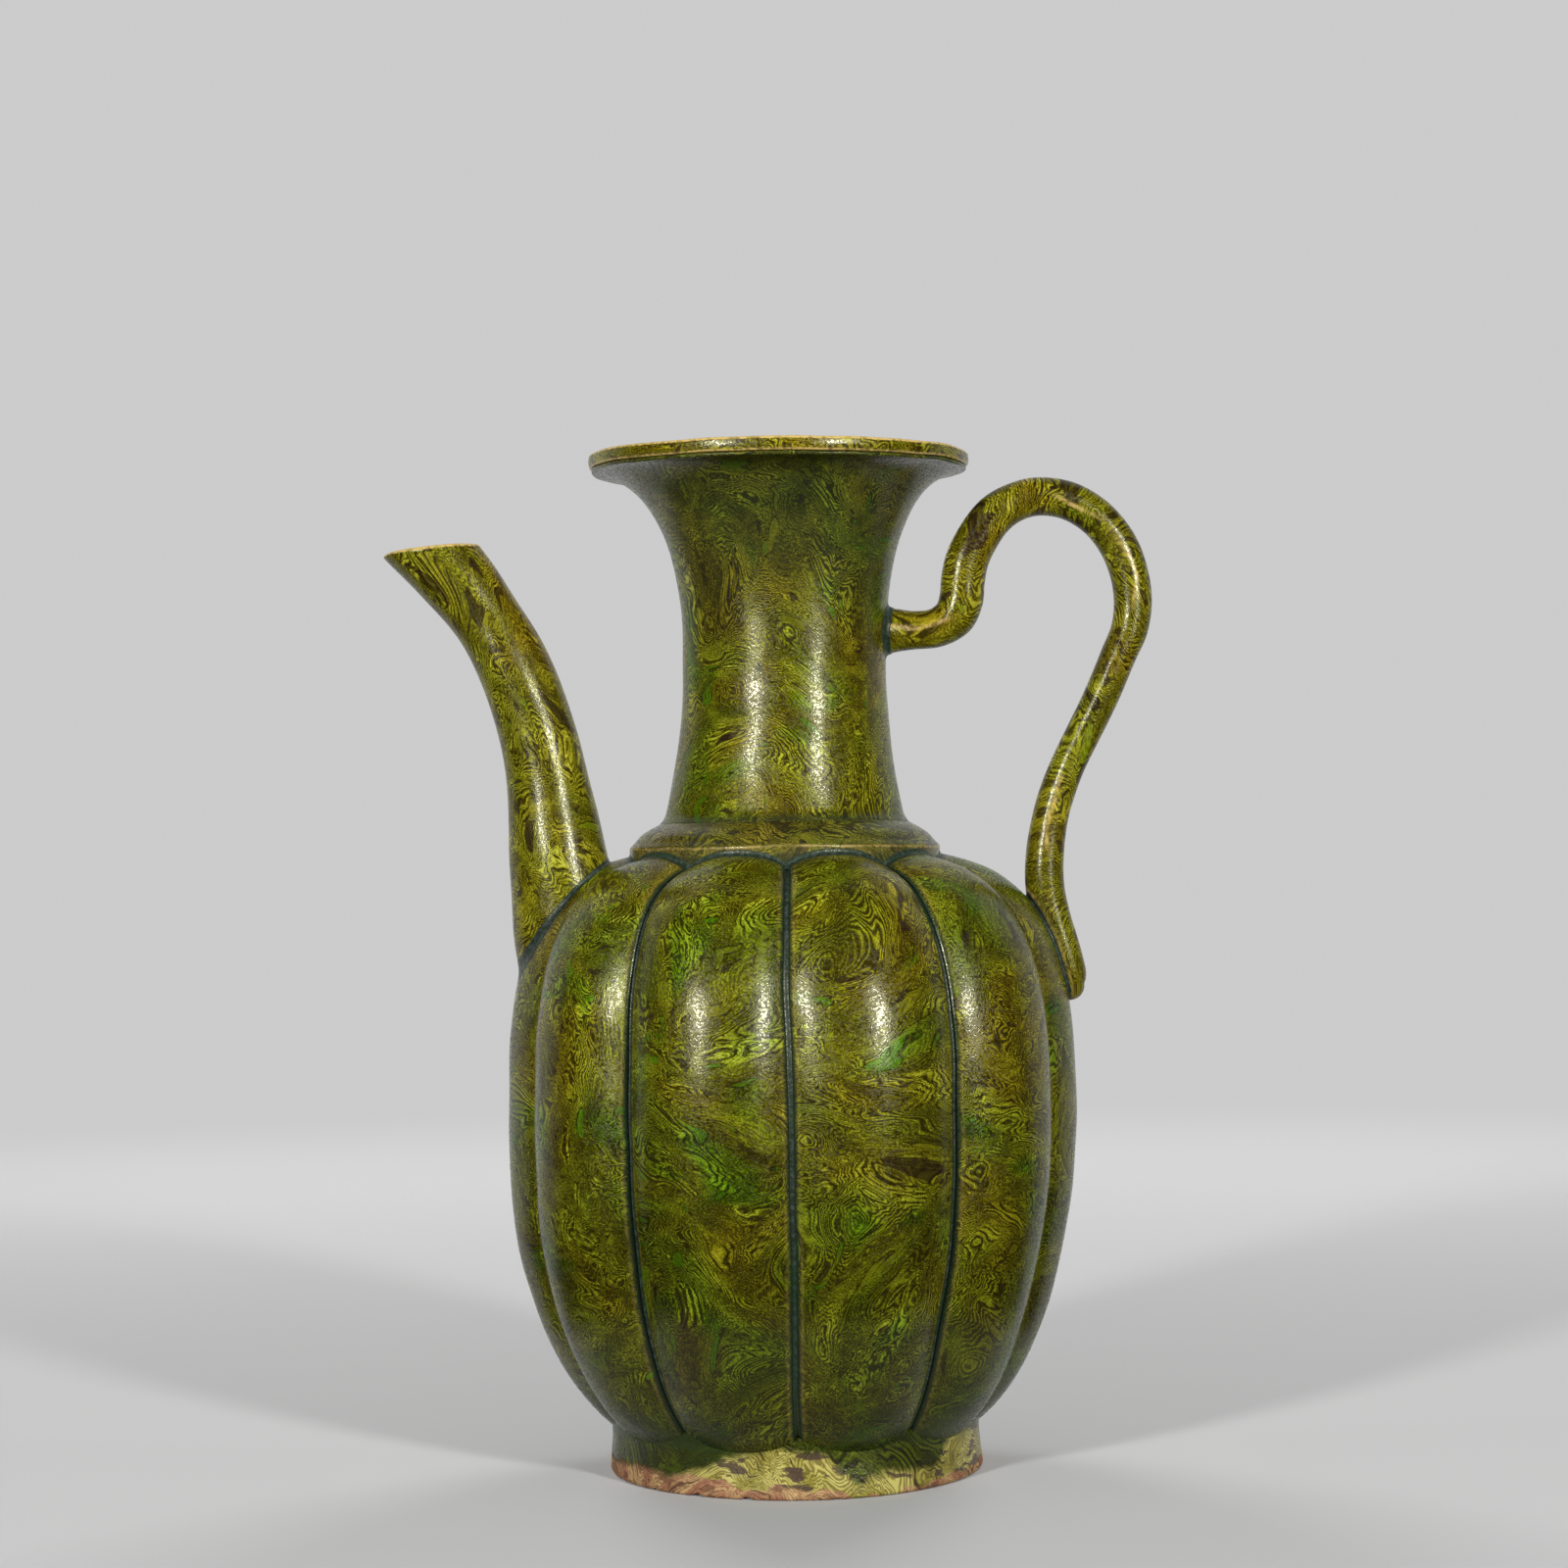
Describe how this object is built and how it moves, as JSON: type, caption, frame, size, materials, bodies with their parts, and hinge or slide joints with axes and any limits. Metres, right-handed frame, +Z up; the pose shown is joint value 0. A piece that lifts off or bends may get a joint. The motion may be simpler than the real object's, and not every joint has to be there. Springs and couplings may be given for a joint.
{
  "type": "lobed ewer",
  "caption": "Lobed melon-shaped ewer of marbled clay under green glaze, with trumpet neck, long curved spout, looped rod handle, moulded collar and short foot.",
  "frame": {"origin": "bottom centre of the bounding box, on the surface the foot stands on", "axes": "+Z up along the body's axis to the mouth, -X towards the spout, +X towards the handle, -Y towards the viewer of the picture; the body's own axis stands at x = +3.5 mm"},
  "size_m": [0.1824, 0.1308, 0.24],
  "materials": {
    "marbled_glaze": "glossy transparent green lead glaze over marbled clay",
    "ochre_glaze": "glossy yellower glaze over marbled clay with brown patches",
    "pooled_glaze": "dark slip under thick pooled blue-green glaze",
    "bare_clay": "bare marbled clay, partly under thin yellow-green glaze"
  },
  "bodies": {
    "root": {"foot_ring": "bare_clay", "body_floor": "bare_clay", "lobe_01": "marbled_glaze", "seam_01": "pooled_glaze", "lobe_02": "marbled_glaze", "seam_02": "pooled_glaze", "lobe_03": "marbled_glaze", "seam_03": "pooled_glaze", "lobe_04": "marbled_glaze", "seam_04": "pooled_glaze", "lobe_05": "marbled_glaze", "seam_05": "pooled_glaze", "lobe_06": "marbled_glaze", "seam_06": "pooled_glaze", "lobe_07": "marbled_glaze", "seam_07": "pooled_glaze", "lobe_08": "marbled_glaze", "seam_08": "pooled_glaze", "lobe_09": "marbled_glaze", "seam_09": "pooled_glaze", "lobe_10": "marbled_glaze", "seam_10": "pooled_glaze", "collar": "ochre_glaze", "neck": "marbled_glaze", "mouth_rim": "ochre_glaze", "spout": "ochre_glaze", "handle": "ochre_glaze", "collar_bead": "pooled_glaze", "spout_bead": "pooled_glaze", "handle_upper_bead": "pooled_glaze", "handle_lower_bead": "pooled_glaze"}
  },
  "joints": []
}
